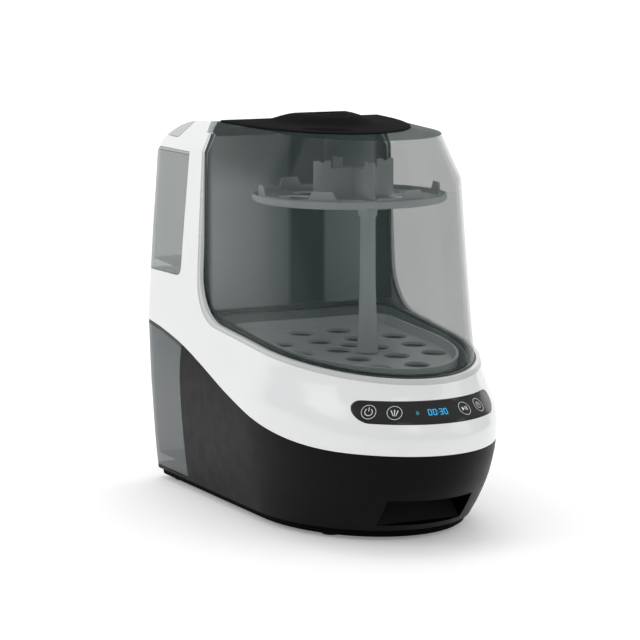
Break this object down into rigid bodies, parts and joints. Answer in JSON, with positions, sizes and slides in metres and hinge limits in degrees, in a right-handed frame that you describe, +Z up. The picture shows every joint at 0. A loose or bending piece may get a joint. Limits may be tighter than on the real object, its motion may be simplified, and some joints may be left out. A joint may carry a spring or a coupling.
{
  "type": "bottle sterilizer",
  "caption": "Countertop bottle washer and steriliser with hinged smoked cover, two rear water tanks, racks and a touch strip.",
  "frame": {"origin": "bottom centre of the bounding box", "axes": "+Z up, -Y out of the front (control strip), +X to the right of a viewer who faces the front"},
  "size_m": [0.2634, 0.484, 0.4332],
  "materials": {
    "shell_white": "gloss",
    "base_black": "satin",
    "rubber_black": "matte",
    "grip_grey": "satin",
    "inner_white": "satin",
    "lens_black": "gloss",
    "key_black": "gloss",
    "board_green": "satin",
    "cover_smoke": "gloss",
    "trim_black": "gloss",
    "steel": "satin",
    "tank_clear": "gloss",
    "tank_smoke": "gloss",
    "part_grey": "satin",
    "float_orange": "satin",
    "tub_grey": "satin",
    "wall_dark": "satin",
    "rack_milk": "satin",
    "inner_black": "satin",
    "filter_white": "matte"
  },
  "bodies": {
    "casing": {"base_housing": "base_black", "bottom_plate": "base_black", "foot_front_left": "rubber_black", "foot_front_right": "rubber_black", "foot_rear_left": "rubber_black", "foot_rear_right": "rubber_black", "body_shell": "shell_white", "rear_grip": "grip_grey", "rear_bulkhead": "inner_white", "tank_shelf": "inner_white", "control_lens": "lens_black", "display_module": "inner_black", "display_board": "board_green", "hinge_pin_left": "steel", "hinge_pin_right": "steel", "cover_seal": "rubber_black", "wash_tub": "tub_grey", "chamber_back_wall": "wall_dark", "wash_pump": "inner_black", "heater": "steel", "drain_pump": "inner_black", "fill_pump": "inner_black", "blower_housing": "inner_black", "air_filter": "filter_white", "main_board": "board_green", "power_inlet": "inner_black"},
    "cover": {"cover_shell": "cover_smoke", "cover_trim": "trim_black", "steam_vent": "trim_black", "hinge_barrel": "base_black"},
    "power_button": {"power_key": "key_black"},
    "wash_button": {"wash_key": "key_black"},
    "start_button": {"start_key": "key_black"},
    "mode_button": {"mode_key": "key_black"},
    "clean_tank_body": {"clean_tank": "tank_clear", "clean_tank_lid": "part_grey", "tank_valve": "part_grey"},
    "waste_tank_body": {"waste_tank": "tank_smoke", "waste_tank_lid": "inner_black"},
    "float": {"waste_float": "float_orange"},
    "filter": {"sump_filter": "steel"},
    "spray": {"spray_arm": "part_grey"},
    "rack": {"lower_rack": "rack_milk", "centre_column": "rack_milk"},
    "tray": {"upper_tray": "rack_milk", "tray_holders": "rack_milk"},
    "impeller": {"pump_impeller": "part_grey", "pump_shaft": "steel"},
    "fan": {"blower_fan": "part_grey"}
  },
  "joints": [
    {"name": "cover_hinge", "type": "hinge", "parent": "casing", "child": "cover", "pos_m": [0, 0.11, 0.4168], "axis": [-1, 0, 0], "range_deg": [0, 80]},
    {"name": "power_press", "type": "slide", "parent": "casing", "child": "power_button", "axis": [0.5717, 0.6065, -0.5526], "range_m": [0, 0.0007], "stiffness_N_per_m": 600},
    {"name": "wash_press", "type": "slide", "parent": "casing", "child": "wash_button", "axis": [0.3977, 0.6727, -0.6239], "range_m": [0, 0.0007], "stiffness_N_per_m": 600},
    {"name": "start_press", "type": "slide", "parent": "casing", "child": "start_button", "axis": [-0.2521, 0.7058, -0.662], "range_m": [0, 0.0007], "stiffness_N_per_m": 600},
    {"name": "mode_press", "type": "slide", "parent": "casing", "child": "mode_button", "axis": [-0.4428, 0.6587, -0.6083], "range_m": [0, 0.0007], "stiffness_N_per_m": 600},
    {"name": "clean_tank_slide", "type": "slide", "parent": "casing", "child": "clean_tank_body", "axis": [0, 1, 0], "range_m": [0, 0.1]},
    {"name": "waste_tank_slide", "type": "slide", "parent": "casing", "child": "waste_tank_body", "axis": [0, 1, 0], "range_m": [0, 0.1]},
    {"name": "float_rise", "type": "slide", "parent": "waste_tank_body", "child": "float", "axis": [0, 0, 1], "range_m": [0, 0.09]},
    {"name": "filter_lift", "type": "slide", "parent": "casing", "child": "filter", "axis": [0, 0, 1], "range_m": [0, 0.003]},
    {"name": "spray_spin", "type": "hinge", "parent": "casing", "child": "spray", "pos_m": [0, -0.018, 0.169], "axis": [0, 0, 1], "continuous": true},
    {"name": "rack_lift", "type": "slide", "parent": "casing", "child": "rack", "axis": [0, 0, 1], "range_m": [0, 0.006]},
    {"name": "tray_lift", "type": "slide", "parent": "rack", "child": "tray", "axis": [0, 0, 1], "range_m": [0, 0.01]},
    {"name": "impeller_spin", "type": "hinge", "parent": "casing", "child": "impeller", "pos_m": [0, 0.04, 0.074], "axis": [0, 0, 1], "continuous": true},
    {"name": "fan_spin", "type": "hinge", "parent": "casing", "child": "fan", "pos_m": [0, 0.126, 0.3], "axis": [0, 1, 0], "continuous": true}
  ]
}
